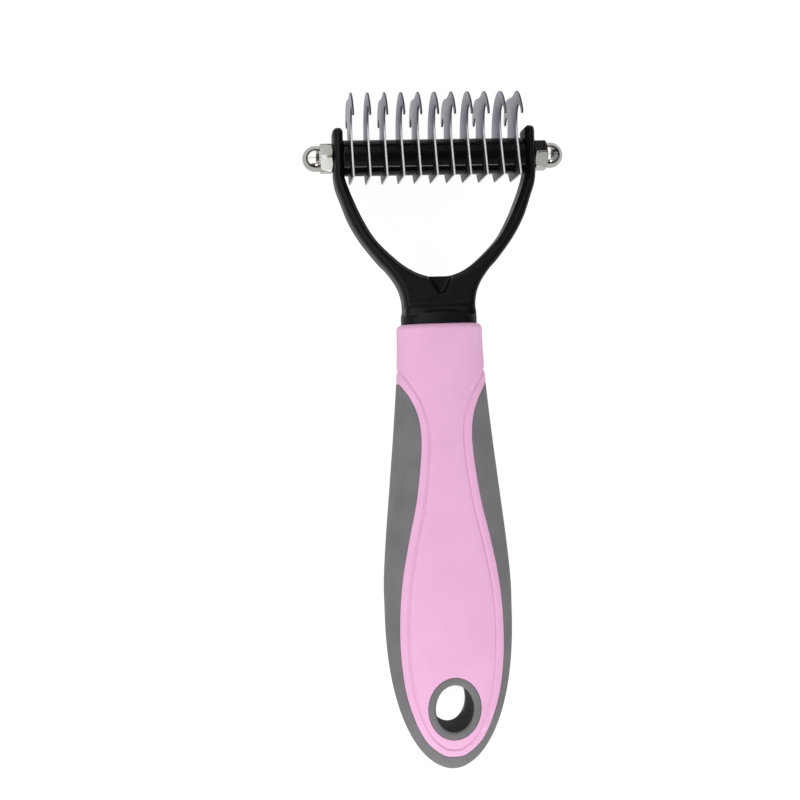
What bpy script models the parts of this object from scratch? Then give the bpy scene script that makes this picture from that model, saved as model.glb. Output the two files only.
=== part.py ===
"""Undercoat rake: a moulded handle, a two-armed yoke and a clamped stack of hooked blades.

The tool lies on its back. +X runs along the axle, +Y along the handle towards the
blades and +Z from the back to the front. The origin is on the table, below the
middle of the tool. Blender works in metres; the tables of shape points below are in
millimetres from the centre of the axle, which is where every object has its origin.
"""
import math

import bmesh
import bpy
from mathutils import Matrix, Vector

MM = 0.001
NAME = "undercoat_rake"

# Driving dimensions, in millimetres.
LENGTH = 170.0
BLADE_TOP = 15.7                  # axle centre to the highest blade top
AXLE_Y = LENGTH / 2 - BLADE_TOP
AXLE_Z = 13.0                     # axle centre above the table
GAP = 0.1                         # between moulded pieces
STACK_GAP = 0.06                  # between clamped pieces on the axle

BLADE_COUNT = 11
BLADE_PITCH = 4.17
BLADE_THICKNESS = 0.5
SPACER_RADIUS = 4.5
AXLE_RADIUS = 2.0                 # M4 rod
AXLE_FLATS = 3.2                  # across its two flats
BORE_RADIUS = 2.15

ARM_OUTER = 25.5                  # X of the arm's outer face beside the nut
ARM_INNER = 22.95                 # X of the arm's inner face beside the stack
ARM_TOP = 7.2
ARM_CORNER = 1.1
YOKE_HALF_DEPTH = 5.0             # arms, from the axle's plane to the front or back
COLLAR_TOP = -39.3
COLLAR_BOTTOM = -42.2
COLLAR_HALF = (9.55, 7.3)         # half width and half depth
TANG_SIZE = (12.0, 26.0, 8.0)     # width, length and depth inside the handle

NUT_TIP = 33.1                    # X of the domed end
NUT_ACROSS_FLATS = 7.0
NUT_HEX_LENGTH = 3.2
NUT_DOME_RADIUS = 3.2
NUT_BORE_DEPTH = 5.6
NUT_TURNS = {"left": 30.0, "right": 25.0}   # degrees from +Y to a corner of each nut

HANDLE_TOP = -42.3
HANDLE_END = BLADE_TOP - LENGTH
HANDLE_END_ROUND = 40.0           # length over which the end narrows to its tip
RIM_ROUND = 1.3
SECTION_POWER = 2.5               # 2 is an ellipse, more is squarer
HOLE_Y = -138.2
HOLE_HALF = (4.7, 5.95)           # half width and half height of the hang hole
LINER_HALF = (6.65, 8.0)

# Handle sections: Y, half width, height in front of and depth behind the axle's plane.
HANDLE_STATIONS = [
    (-42.3, 10.75, 8.0, 8.0),
    (-47.5, 10.80, 8.2, 8.8),
    (-56.3, 11.20, 8.5, 11.0),
    (-69.0, 12.30, 8.9, 13.4),
    (-81.6, 13.60, 9.2, 14.2),
    (-96.8, 15.20, 9.4, 14.2),
    (-107.0, 16.00, 9.3, 13.8),
    (-114.5, 16.05, 9.1, 13.4),
    (-130.0, 16.05, 8.5, 12.0),
    (-155.0, 16.05, 7.0, 9.5),
]

# Half width of the pink panel, which the soft grip wraps, at points down its edge.
PANEL_EDGE = [
    (13.2, -54.3), (11.0, -57.2), (8.5, -61.2), (7.0, -65.2), (6.4, -69.8),
    (6.7, -76.0), (8.1, -86.3), (10.3, -96.3), (12.15, -106.3), (13.0, -116.3),
    (12.85, -126.3), (11.4, -136.2), (7.7, -145.6), (3.2, -149.9), (0.0, -150.6),
]

# Edges of the yoke's right half, below the straight part of the arm.
ARM_STRAIGHT_END = -4.6
YOKE_OUTER = [
    (25.1, -7.4), (23.9, -10.9), (22.0, -16.0), (19.1, -21.1), (15.2, -26.2),
    (12.9, -28.7), (11.0, -31.3), (9.75, -33.8), (9.15, -36.4), (9.05, -38.6),
]
YOKE_INNER = [
    (22.3, -6.9), (20.8, -10.9), (18.5, -16.0), (15.4, -21.1), (10.3, -26.2),
    (6.6, -28.8), (3.2, -30.15), (0.0, -30.3),
]

# Rounding of the yoke's front and back edges: how far in, and how far from the face.
YOKE_ROUNDING = [(0.9, 0.0), (0.35, 0.3), (0.0, 0.9)]

# Blade outlines in (Z, Y). The front is the same on every blade.
BLADE_FRONT_HOOK = [
    (7.6, 14.5), (9.8, 12.9), (11.4, 11.0), (12.3, 9.4), (12.15, 8.75), (11.6, 8.6),
    (11.15, 9.1), (10.5, 10.2), (9.1, 11.3), (7.5, 11.6), (5.9, 11.1), (4.7, 9.9),
    (4.0, 8.0), (4.1, 5.6), (5.3, 1.5), (7.0, -3.0),
]
BLADE_FRONT_CORNER = (8.1, -5.7)
BLADE_REAR_CORNERS = [(-6.9, -5.7), (-9.6, -3.1)]
BLADE_REAR_STEM = [(-9.3, 1.0), (-8.5, 5.4)]
SINGLE_TOP = [
    (-7.4, 9.3), (-5.6, 11.9), (-2.9, 14.2), (0.3, 15.4), (3.0, 15.7), (5.4, 15.4),
]
DOUBLE_TOP = [
    (-7.6, 8.8), (-7.5, 10.2), (-8.3, 11.2), (-9.5, 11.5), (-10.7, 11.0), (-11.6, 10.1),
    (-12.3, 9.8), (-12.8, 10.1), (-13.0, 11.0), (-12.5, 12.7), (-11.2, 14.3),
    (-9.0, 15.4), (-6.6, 15.7), (-3.6, 15.4), (-0.8, 15.0), (2.2, 15.2), (5.0, 15.5),
]

PINK = (0.82, 0.46, 0.69)
GRAY = (0.17, 0.17, 0.18)
BLACK = (0.012, 0.013, 0.015)
STEEL = (0.42, 0.42, 0.46)
CHROME = (0.62, 0.60, 0.57)


def clear_scene():
    """Remove every object and every mesh."""
    for obj in list(bpy.data.objects):
        bpy.data.objects.remove(obj, do_unlink=True)
    for mesh in list(bpy.data.meshes):
        bpy.data.meshes.remove(mesh)


def collection(name):
    """Return a collection of this name, linked to the scene."""
    group = bpy.data.collections.get(name) or bpy.data.collections.new(name)
    if group.name not in bpy.context.scene.collection.children:
        bpy.context.scene.collection.children.link(group)
    return group


def material(name, colour, roughness, metallic=0.0):
    """Return a Principled material."""
    mat = bpy.data.materials.get(name) or bpy.data.materials.new(name)
    mat.use_nodes = True
    shader = mat.node_tree.nodes["Principled BSDF"]
    shader.inputs["Base Color"].default_value = (*colour, 1.0)
    shader.inputs["Roughness"].default_value = roughness
    shader.inputs["Metallic"].default_value = metallic
    return mat


def place(obj, group):
    """Link an object to its collection, with its origin at the centre of the axle."""
    group.objects.link(obj)
    obj.location = (0.0, AXLE_Y * MM, AXLE_Z * MM)
    return obj


def object_from_bmesh(name, bm, group):
    """Turn a bmesh in millimetres into an object in metres."""
    bmesh.ops.scale(bm, vec=(MM, MM, MM), verts=bm.verts)
    bmesh.ops.recalc_face_normals(bm, faces=bm.faces)
    mesh = bpy.data.meshes.new(name)
    bm.to_mesh(mesh)
    bm.free()
    return place(bpy.data.objects.new(name, mesh), group)


def smooth_line(points, steps=4):
    """Return points on a Catmull-Rom curve through the given 2D points."""
    ends = [points[0], *points, points[-1]]
    line = []
    for p0, p1, p2, p3 in zip(ends, ends[1:], ends[2:], ends[3:]):
        for i in range(steps):
            t = i / steps
            line.append(tuple(
                0.5 * (2 * b + (c - a) * t + (2 * a - 5 * b + 4 * c - d) * t * t
                       + (3 * b - a - 3 * c + d) * t ** 3)
                for a, b, c, d in zip(p0, p1, p2, p3)))
    return line + [points[-1]]


def oval(half_width, half_height, centre=(0.0, 0.0), count=32):
    """Return the points of an ellipse."""
    turns = [2 * math.pi * i / count for i in range(count)]
    return [(centre[0] + half_width * math.cos(t), centre[1] + half_height * math.sin(t))
            for t in turns]


def flat_piece(name, loops, thickness, group, turned=False):
    """Extrude a closed outline, with any holes, evenly to both sides of its plane.

    The outline lies in X and Y, or when turned in Z and Y.
    """
    curve = bpy.data.curves.new(name, "CURVE")
    curve.dimensions = "2D"
    curve.fill_mode = "BOTH"
    curve.extrude = thickness / 2 * MM
    for loop in loops:
        spline = curve.splines.new("POLY")
        spline.points.add(len(loop) - 1)
        spline.use_cyclic_u = True
        for point, (x, y) in zip(spline.points, loop):
            point.co = (x * MM, y * MM, 0.0, 1.0)
    guide = place(bpy.data.objects.new(name + "_curve", curve), group)
    if turned:
        guide.rotation_euler = (0.0, -math.pi / 2, 0.0)
    return meshed(guide, name, group)


def meshed(guide, name, group):
    """Replace a curve object with a mesh whose caps are welded on."""
    bpy.context.view_layer.update()
    depsgraph = bpy.context.evaluated_depsgraph_get()
    mesh = bpy.data.meshes.new_from_object(guide.evaluated_get(depsgraph))
    bm = bmesh.new()
    bm.from_mesh(mesh)
    bmesh.ops.remove_doubles(bm, verts=bm.verts, dist=1e-6)
    bmesh.ops.recalc_face_normals(bm, faces=bm.faces)
    bm.to_mesh(mesh)
    bm.free()
    obj = bpy.data.objects.new(name, mesh)
    group.objects.link(obj)
    obj.matrix_world = guide.matrix_world.copy()
    bpy.data.objects.remove(guide, do_unlink=True)
    return obj


def lofted(name, rings, group):
    """Skin closed rings of equal length, and close both ends with a face."""
    bm = bmesh.new()
    rows = [[bm.verts.new(point) for point in ring] for ring in rings]
    for row, following in zip(rows, rows[1:]):
        for i, vert in enumerate(row):
            j = (i + 1) % len(row)
            bm.faces.new((vert, row[j], following[j], following[i]))
    bm.faces.new(rows[0])
    bm.faces.new(list(reversed(rows[-1])))
    return object_from_bmesh(name, bm, group)


def turned_piece(name, profile, group, segments, shift=0.0):
    """Spin a (radius, X) profile round the axle's line, and move it along X."""
    bm = bmesh.new()
    verts = [bm.verts.new((radius, 0.0, along)) for radius, along in profile]
    for first, second in zip(verts, verts[1:]):
        bm.edges.new((first, second))
    if profile[0][0] > 0.0:
        bm.edges.new((verts[-1], verts[0]))
    bmesh.ops.scale(bm, vec=(MM, MM, MM), verts=bm.verts)
    mesh = bpy.data.meshes.new(name)
    bm.to_mesh(mesh)
    bm.free()
    obj = place(bpy.data.objects.new(name, mesh), group)
    obj.rotation_euler = (0.0, math.pi / 2, 0.0)
    obj.location.x = shift * MM
    screw = obj.modifiers.new("spin", "SCREW")
    screw.steps = segments
    screw.render_steps = segments
    screw.use_merge_vertices = True
    screw.merge_threshold = 1e-6
    return obj


def box(name, centre, size, group):
    """Add a box, with its scale applied."""
    bm = bmesh.new()
    bmesh.ops.create_cube(bm, size=1.0)
    bmesh.ops.scale(bm, vec=size, verts=bm.verts)
    bmesh.ops.translate(bm, vec=centre, verts=bm.verts)
    return object_from_bmesh(name, bm, group)


def rod(name, radius, start, end, group, segments=24, turn=0.0):
    """Add a cylinder or prism along X, between two X positions."""
    bm = bmesh.new()
    bmesh.ops.create_cone(bm, cap_ends=True, segments=segments, radius1=radius,
                          radius2=radius, depth=end - start)
    bmesh.ops.rotate(bm, verts=bm.verts, matrix=Matrix.Rotation(turn, 3, "Z"))
    bmesh.ops.rotate(bm, verts=bm.verts, matrix=Matrix.Rotation(math.pi / 2, 3, "Y"))
    bmesh.ops.translate(bm, vec=((start + end) / 2, 0.0, 0.0), verts=bm.verts)
    return object_from_bmesh(name, bm, group)


def boolean(target, tool, operation):
    """Combine a target with a hidden tool object."""
    step = target.modifiers.new(operation.lower() + "_" + tool.name, "BOOLEAN")
    step.operation = operation
    step.solver = "EXACT"
    step.object = tool
    tool.hide_render = True
    tool.display_type = "WIRE"


def finish(obj, mat, smooth_angle=None):
    """Give a piece its material, and smooth its round faces."""
    obj.data.materials.clear()
    obj.data.materials.append(mat)
    if smooth_angle is not None:
        obj.data.shade_smooth()
        obj.data.set_sharp_from_angle(angle=math.radians(smooth_angle))


def at_handle(position):
    """Interpolate the handle's half width, front height and rear depth at a Y."""
    line = smooth_line(HANDLE_STATIONS, 8)
    for upper, lower in zip(line, line[1:]):
        if lower[0] <= position <= upper[0]:
            t = (upper[0] - position) / (upper[0] - lower[0])
            return [a + (b - a) * t for a, b in zip(upper[1:], lower[1:])]
    return list(line[-1][1:])


def end_factor(position):
    """Return how far the handle has narrowed at a Y near its end, from 1 down to 0.06."""
    left = min((position - HANDLE_END) / HANDLE_END_ROUND, 1.0)
    return max(math.sqrt(1.0 - (1.0 - left) ** 2.3), 0.06)


def handle_ring(position, count=36):
    """Return one section of the handle; its back is cut flat at the table."""
    half, front, rear = at_handle(position)
    rim = max(RIM_ROUND - (HANDLE_TOP - position), 0.0)
    inset = RIM_ROUND - math.sqrt(max(RIM_ROUND ** 2 - rim ** 2, 0.0))
    end = end_factor(position)
    thin = end ** 0.55
    ring = []
    for i in range(count):
        turn = 2 * math.pi * (i + 0.5) / count
        across = math.cos(turn)
        up = math.sin(turn)
        x = math.copysign(abs(across) ** (2 / SECTION_POWER), across)
        z = math.copysign(abs(up) ** (2 / SECTION_POWER), up)
        height = front if up > 0 else rear
        ring.append(((half * end - inset) * x, position,
                     max((height * thin - inset) * z, -AXLE_Z)))
    return ring


def handle_form(name, group):
    """Add the whole outer shape of the handle, before it is split into its pieces."""
    straight = [HANDLE_TOP - RIM_ROUND * t for t in (0.0, 0.12, 0.4, 1.0)]
    grip = [HANDLE_TOP - RIM_ROUND - 6.9 * i for i in range(1, 11)]
    first = grip[-1] - HANDLE_END
    steps = [math.sin(math.pi / 2 * i / 11) for i in range(1, 12)]
    end = [HANDLE_END + first * (1 - s) for s in steps]
    return lofted(name, [handle_ring(y) for y in straight + grip + end], group)


def panel_outline(grow):
    """Return the outline that splits the pink panel from the soft grip."""
    edge = [(x + (grow if x > 0 else 0.0), y) for x, y in PANEL_EDGE]
    edge[-1] = (0.0, edge[-1][1] - grow)
    edge = smooth_line(edge, 3)
    top = [(20.0, HANDLE_TOP + 5.0), (20.0, edge[0][1] + 1.0)]
    right = top + edge
    left = [(-x, y) for x, y in reversed(right[:-1])]
    return right + left


def add_handle(parts, cutters):
    """Split the handle's form into the pink core, the soft grip and the hole liner."""
    cut_depth = 60.0
    hole = oval(*HOLE_HALF, (0.0, HOLE_Y))
    ring = oval(*LINER_HALF, (0.0, HOLE_Y))
    ring_hole = oval(LINER_HALF[0] + GAP, LINER_HALF[1] + GAP, (0.0, HOLE_Y))
    core = handle_form("handle_core", parts)
    boolean(core, flat_piece("panel_keep", [panel_outline(0.0)], cut_depth, cutters),
            "INTERSECT")
    boolean(core, flat_piece("liner_seat", [ring_hole], cut_depth, cutters), "DIFFERENCE")
    width, length, depth = (size + 2 * GAP for size in TANG_SIZE)
    socket = box("tang_socket", (0.0, HANDLE_TOP + 2.0 - length / 2, 0.0),
                 (width, length + 4.0, depth), cutters)
    boolean(core, socket, "DIFFERENCE")
    finish(core, material("pink_plastic", PINK, 0.55), 35)

    grip = handle_form("soft_grip", parts)
    boolean(grip, flat_piece("panel_cut", [panel_outline(GAP)], cut_depth, cutters),
            "DIFFERENCE")
    finish(grip, material("gray_rubber", GRAY, 0.75), 35)

    liner = handle_form("hang_hole_liner", parts)
    boolean(liner, flat_piece("liner_keep", [ring, hole], cut_depth, cutters), "INTERSECT")
    finish(liner, material("gray_rubber", GRAY, 0.75), 35)


def yoke_outline():
    """Return the outline of both arms and the neck, clockwise from the crotch."""
    corner = [math.pi / 2 * i / 4 for i in range(5)]
    top = ARM_TOP - ARM_CORNER
    outer = [(ARM_OUTER - ARM_CORNER + ARM_CORNER * math.cos(t),
              top + ARM_CORNER * math.sin(t)) for t in reversed(corner)]
    inner = [(ARM_INNER + ARM_CORNER - ARM_CORNER * math.cos(t),
              top + ARM_CORNER * math.sin(t)) for t in corner]
    down = smooth_line([(ARM_OUTER, ARM_STRAIGHT_END), *YOKE_OUTER], 2)
    up = smooth_line([(ARM_INNER, ARM_STRAIGHT_END), *YOKE_INNER], 2)
    right = list(reversed(up)) + inner + outer + down + [(9.05, COLLAR_TOP - 1.0)]
    left = [(-x, y) for x, y in reversed(right[1:])]
    return right + left


def inset_ring(outline, inset, height):
    """Return a clockwise outline moved inwards by an inset, at one Z."""
    ring = []
    for i, (x, y) in enumerate(outline):
        before = Vector(outline[i - 1])
        after = Vector(outline[(i + 1) % len(outline)])
        along = (after - before).normalized()
        ring.append((x + along.y * inset, y - along.x * inset, height))
    return ring


def rounded_ring(position, half_width, half_depth, count=32):
    """Return a squarish oval section across the tool at a Y."""
    ring = []
    for i in range(count):
        turn = 2 * math.pi * (i + 0.5) / count
        x = math.copysign(abs(math.cos(turn)) ** 0.8, math.cos(turn))
        z = math.copysign(abs(math.sin(turn)) ** 0.8, math.sin(turn))
        ring.append((half_width * x, position, half_depth * z))
    return ring


def add_yoke(parts, cutters):
    """Add the fork: two arms, a neck, the collar and the tang inside the handle."""
    outline = yoke_outline()
    back = [inset_ring(outline, inset, rise - YOKE_HALF_DEPTH)
            for inset, rise in YOKE_ROUNDING]
    front = [inset_ring(outline, inset, YOKE_HALF_DEPTH - rise)
             for inset, rise in reversed(YOKE_ROUNDING)]
    yoke = lofted("yoke", back + front, parts)
    neck = [(-32.5, 7.0, 4.0), (-35.0, 8.2, 5.4), (-37.5, 8.9, 6.4), (-40.0, 9.1, 6.9)]
    boolean(yoke, lofted("neck_swell", [rounded_ring(*s) for s in neck], cutters), "UNION")
    half_width, half_depth = COLLAR_HALF
    collar = [(COLLAR_TOP, half_width - 0.4, half_depth - 0.4),
              (COLLAR_TOP - 0.4, half_width, half_depth),
              (COLLAR_BOTTOM, half_width, half_depth)]
    boolean(yoke, lofted("collar", [rounded_ring(*s) for s in collar], cutters), "UNION")
    width, length, depth = TANG_SIZE
    tang = box("tang", (0.0, COLLAR_BOTTOM + 0.5 - length / 2, 0.0),
               (width, length, depth), cutters)
    boolean(yoke, tang, "UNION")
    boolean(yoke, rod("arm_bores", BORE_RADIUS, -30.0, 30.0, cutters), "DIFFERENCE")
    finish(yoke, material("black_plastic", BLACK, 0.35), 35)


def flatted_hole(count=20):
    """Return the outline of the double-D hole that keys a blade to the axle."""
    clearance = BORE_RADIUS - AXLE_RADIUS
    limit = AXLE_FLATS / 2 + clearance
    return [(max(-limit, min(limit, x)), y) for x, y in oval(BORE_RADIUS, BORE_RADIUS,
                                                             count=count)]


def blade_outline(double):
    """Return a blade's outline in (Z, Y), starting below its stem."""
    top = DOUBLE_TOP if double else SINGLE_TOP
    edge = smooth_line([*BLADE_REAR_STEM, *top, *BLADE_FRONT_HOOK], 2)
    return [*BLADE_REAR_CORNERS, *edge, BLADE_FRONT_CORNER]


def blade_x(index):
    """Return the X of a blade's middle plane, counting from 1 at the left."""
    return (index - (BLADE_COUNT + 1) / 2) * BLADE_PITCH


def add_blades(parts):
    """Add the blades: odd ones have a hook at the front and back, even ones one hook."""
    steel = material("blade_steel", STEEL, 0.35, 1.0)
    for index in range(1, BLADE_COUNT + 1):
        outline = blade_outline(double=index % 2 == 1)
        blade = flat_piece(f"blade_{index:02d}", [outline, flatted_hole()],
                           BLADE_THICKNESS, parts, turned=True)
        blade.location.x = blade_x(index) * MM
        finish(blade, steel)


def add_sleeve(name, start, end, parts):
    """Add a round black sleeve on the axle between two X positions."""
    profile = [(SPACER_RADIUS, end), (SPACER_RADIUS, start), (BORE_RADIUS, start),
               (BORE_RADIUS, end)]
    sleeve = turned_piece(name, profile, parts, 24)
    finish(sleeve, material("black_plastic", BLACK, 0.35), 35)


def add_spacers(parts):
    """Add the sleeves between the blades and the short ones beside the arms."""
    reach = BLADE_THICKNESS / 2 + STACK_GAP
    for index in range(1, BLADE_COUNT):
        add_sleeve(f"spacer_{index:02d}", blade_x(index) + reach,
                   blade_x(index + 1) - reach, parts)
    outer = ARM_INNER - STACK_GAP
    add_sleeve("end_spacer_left", -outer, blade_x(1) - reach, parts)
    add_sleeve("end_spacer_right", blade_x(BLADE_COUNT) + reach, outer, parts)


def add_axle(parts, cutters):
    """Add the rod, round at its threaded ends and flatted where it carries the stack."""
    end = ARM_OUTER + NUT_BORE_DEPTH - 0.4
    axle = rod("axle_rod", AXLE_RADIUS, -end, end, parts)
    for name, side in (("front_flat", 1), ("back_flat", -1)):
        centre = side * (AXLE_FLATS / 2 + AXLE_RADIUS)
        flat = box(name, (0.0, 0.0, centre),
                   (2 * ARM_INNER, 4 * AXLE_RADIUS, 2 * AXLE_RADIUS), cutters)
        boolean(axle, flat, "DIFFERENCE")
    finish(axle, material("axle_steel", STEEL, 0.3, 1.0), 35)


def add_cap_nut(side, parts, cutters):
    """Add a domed hexagon nut on one end of the axle, screwed up to the arm."""
    way = 1 if side == "right" else -1
    base = ARM_OUTER + STACK_GAP
    radius = NUT_ACROSS_FLATS / 2 / math.cos(math.pi / 6)
    shoulder = base + NUT_HEX_LENGTH
    turn = math.radians(NUT_TURNS[side])
    ends = sorted((way * base, way * shoulder))
    nut = rod(f"cap_nut_{side}", radius, *ends, parts, segments=6, turn=turn)
    crown = NUT_TIP - NUT_DOME_RADIUS
    arc = [math.pi / 2 * i / 5 for i in range(6)]
    dome = [(NUT_DOME_RADIUS * math.sin(t), crown + NUT_DOME_RADIUS * math.cos(t))
            for t in arc]
    profile = [*dome, (NUT_DOME_RADIUS, shoulder - 1.0), (0.0, shoulder - 1.0)]
    cap = turned_piece(f"dome_{side}", profile, cutters, 24)
    if way < 0:
        cap.rotation_euler.y = -math.pi / 2
    boolean(nut, cap, "UNION")
    hole = sorted((way * (base - 1.0), way * (base + NUT_BORE_DEPTH)))
    boolean(nut, rod(f"bore_{side}", BORE_RADIUS, *hole, cutters), "DIFFERENCE")
    finish(nut, material("chrome_nut", CHROME, 0.15, 1.0), 35)


def main():
    """Build the whole rake."""
    clear_scene()
    parts = collection(NAME)
    cutters = collection(NAME + "_cutters")
    add_handle(parts, cutters)
    add_yoke(parts, cutters)
    add_axle(parts, cutters)
    add_blades(parts)
    add_spacers(parts)
    for side in NUT_TURNS:
        add_cap_nut(side, parts, cutters)


main()
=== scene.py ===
"""Looks of the undercoat rake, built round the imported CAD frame.

Tables are in millimetres from the centre of the axle, as in the CAD, and every piece
has its origin there. +X runs along the axle, +Y to the blade tops, +Z to the front.
"""
import math

import bmesh
import bpy
import numpy as np
from mathutils import Matrix, Vector


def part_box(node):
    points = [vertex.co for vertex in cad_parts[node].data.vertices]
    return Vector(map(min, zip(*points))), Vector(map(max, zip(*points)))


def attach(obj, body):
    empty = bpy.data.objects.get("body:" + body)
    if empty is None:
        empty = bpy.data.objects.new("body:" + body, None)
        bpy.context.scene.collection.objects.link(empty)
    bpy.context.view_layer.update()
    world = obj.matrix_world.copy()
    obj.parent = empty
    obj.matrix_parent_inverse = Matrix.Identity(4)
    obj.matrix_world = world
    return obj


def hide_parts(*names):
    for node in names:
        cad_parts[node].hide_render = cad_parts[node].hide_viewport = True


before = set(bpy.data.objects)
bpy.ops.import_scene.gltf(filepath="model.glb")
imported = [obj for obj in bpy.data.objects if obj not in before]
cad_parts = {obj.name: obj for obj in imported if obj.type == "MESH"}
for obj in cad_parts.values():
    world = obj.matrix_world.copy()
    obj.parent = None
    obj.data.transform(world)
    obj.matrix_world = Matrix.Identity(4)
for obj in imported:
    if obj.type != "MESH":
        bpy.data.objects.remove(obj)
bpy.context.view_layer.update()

MM = 0.001


def middle(node):
    """Return the middle of a CAD node's box, in metres."""
    low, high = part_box(node)
    return (low + high) / 2


AXLE = middle("axle_rod")


def span(node, axis):
    """Return where a CAD node starts and ends along an axis, in mm from the axle's centre."""
    low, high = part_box(node)
    return (low[axis] - AXLE[axis]) / MM, (high[axis] - AXLE[axis]) / MM


HANDLE_END = span("soft_grip", 1)[0]
HANDLE_TOP = span("handle_core", 1)[1]
TABLE = AXLE.z / MM
TABLE_BLEND = 1.0                  # height over which the back flattens onto the table
HANDLE_END_ROUND = 40.0            # length of the handle's rounded end
HANDLE_END_POWER = 2.3
HANDLE_END_THINNING = 0.55
RIM_ROUND = 1.3
SECTION_POWER = 2.5
SEAM = 0.05                        # between the pink core and the gray grip or liner
GROOVE_INSET = 2.0                 # from the panel's edge to the middle of its groove
GROOVE_HALF_WIDTH = 0.5
GROOVE_DEPTH = 0.38
EDGE_ROUND = 0.35                  # how far in the edges of pink and gray start to drop
EDGE_DROP = 0.13

# (Y, half width, height in front, depth behind) down the handle
HANDLE_STATIONS = [
    (-42.3, 10.75, 8.0, 8.0), (-47.5, 10.80, 8.2, 8.8), (-56.3, 11.20, 8.5, 11.0),
    (-69.0, 12.30, 8.9, 13.4), (-81.6, 13.60, 9.2, 14.2), (-96.8, 15.20, 9.4, 14.2),
    (-107.0, 16.00, 9.3, 13.8), (-114.5, 16.05, 9.1, 13.4), (-130.0, 16.05, 8.5, 12.0),
    (-155.0, 16.05, 7.0, 9.5),
]
# (X, Y) down the right edge of the pink panel
PANEL_EDGE = [
    (13.2, -54.3), (11.0, -57.2), (8.5, -61.2), (7.0, -65.2), (6.4, -69.8),
    (6.7, -76.0), (8.1, -86.3), (10.3, -96.3), (12.15, -106.3), (13.0, -116.3),
    (12.85, -126.3), (11.4, -136.2), (7.7, -145.6), (3.2, -149.9), (0.0, -150.6),
]
LINER_X = span("hang_hole_liner", 0)
LINER_Y = span("hang_hole_liner", 1)
HOLE_Y = sum(LINER_Y) / 2
LINER_HALF = (LINER_X[1], (LINER_Y[1] - LINER_Y[0]) / 2)
HOLE_HALF = (4.7, 5.95)
LINER_LIP = 0.85
LINER_FACE_DEPTH = 7.2             # nearer the handle's middle than this is the hole's wall

ARM_OUTER = span("yoke", 0)[1]
CLAMP_GAP = 0.06                   # between the pieces clamped on the axle
ARM_INNER = span("end_spacer_right", 0)[1] + CLAMP_GAP
ARM_TOP = span("yoke", 1)[1]
ARM_CORNER = 1.1
ARM_STRAIGHT_END = -4.6
YOKE_HALF_DEPTH = 5.0
COLLAR_TOP = -39.3
COLLAR_BOTTOM = -42.25
COLLAR_HALF = (9.55, 7.3)
NECK_END = -40.3                   # of the arms' outline, inside the collar
TANG = (12.0, 25.5, 8.0)           # width, length and depth below the collar
RECESS_FLOOR = 2.6
RECESS_TOP = 5.2
RECESS_FLARE = 0.5                 # how far its walls lean out
OUTER_ROUND = (1.35, 2.6)          # how far in and how far down the arms' outer edges round
INNER_BEVEL = (1.05, 1.6)          # the same for the bevel on their inner edges
# (X, Y) down the right arm's outer edge, and down its inner edge to the crotch
YOKE_OUTER = [
    (25.1, -7.4), (23.9, -10.9), (22.0, -16.0), (19.1, -21.1), (15.2, -26.2),
    (12.9, -28.7), (11.0, -31.3), (9.75, -33.8), (9.15, -36.4), (9.05, -38.6),
]
YOKE_INNER = [
    (22.3, -6.9), (20.8, -10.9), (18.5, -16.0), (15.4, -21.1), (10.3, -26.2),
    (6.6, -28.8), (3.2, -30.15), (0.0, -30.3),
]
# (Y, half width, half depth) down the neck into the collar
NECK = [(-35.6, 8.0, 4.2), (-37.0, 8.7, 5.0), (-38.6, 9.0, 6.1), (-40.3, 9.1, 6.6)]

BORE_RADIUS = 2.15
AXLE_FLATS = 3.2
AXLE_RADIUS = 2.0
BLADE_NAMES = [f"blade_{i:02d}" for i in range(1, 12)]
SPACER_NAMES = [f"spacer_{i:02d}" for i in range(1, 11)]
END_SPACER_NAMES = ["end_spacer_left", "end_spacer_right"]
BLADE_EDGE = 0.11                  # how far a blade's edges round
BLADE_FACE_LEAN = 0.6              # a face whose normal has less X than this is edge
# (Z, Y) round a blade: over its front hook and down the front, its corners, then up
# its rear stem, and over the top of a blade with one hook or with two
BLADE_FRONT_HOOK = [
    (7.6, 14.5), (9.8, 12.9), (11.4, 11.0), (12.3, 9.4), (12.15, 8.75), (11.6, 8.6),
    (11.15, 9.1), (10.5, 10.2), (9.1, 11.3), (7.5, 11.6), (5.9, 11.1), (4.7, 9.9),
    (4.0, 8.0), (4.1, 5.6), (5.3, 1.5), (7.0, -3.0),
]
BLADE_FRONT_CORNER = (8.1, -5.7)
BLADE_REAR_CORNERS = [(-6.9, -5.7), (-9.6, -3.1)]
BLADE_REAR_STEM = [(-9.3, 1.0), (-8.5, 5.4)]
SINGLE_TOP = [
    (-7.4, 9.3), (-5.6, 11.9), (-2.9, 14.2), (0.3, 15.4), (3.0, 15.7), (5.4, 15.4),
]
DOUBLE_TOP = [
    (-7.6, 8.8), (-7.5, 10.2), (-8.3, 11.2), (-9.5, 11.5), (-10.7, 11.0), (-11.6, 10.1),
    (-12.3, 9.8), (-12.8, 10.1), (-13.0, 11.0), (-12.5, 12.7), (-11.2, 14.3),
    (-9.0, 15.4), (-6.6, 15.7), (-3.6, 15.4), (-0.8, 15.0), (2.2, 15.2), (5.0, 15.5),
]

SLEEVE_CHAMFER = 0.14
NUT_ACROSS_FLATS = 7.0
NUT_HEX_LENGTH = 3.2
NUT_DOME_RADIUS = 3.2
NUT_BORE_DEPTH = 5.6
NUT_CORNER = NUT_ACROSS_FLATS / 2 / math.cos(math.pi / 6)
NUT_CORNER_WEAR = 0.06
NUT_TURNS = {"left": 30.0, "right": 25.0}   # degrees from +Y to a corner of each nut


# ---------------------------------------------------------------- mesh building

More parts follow.
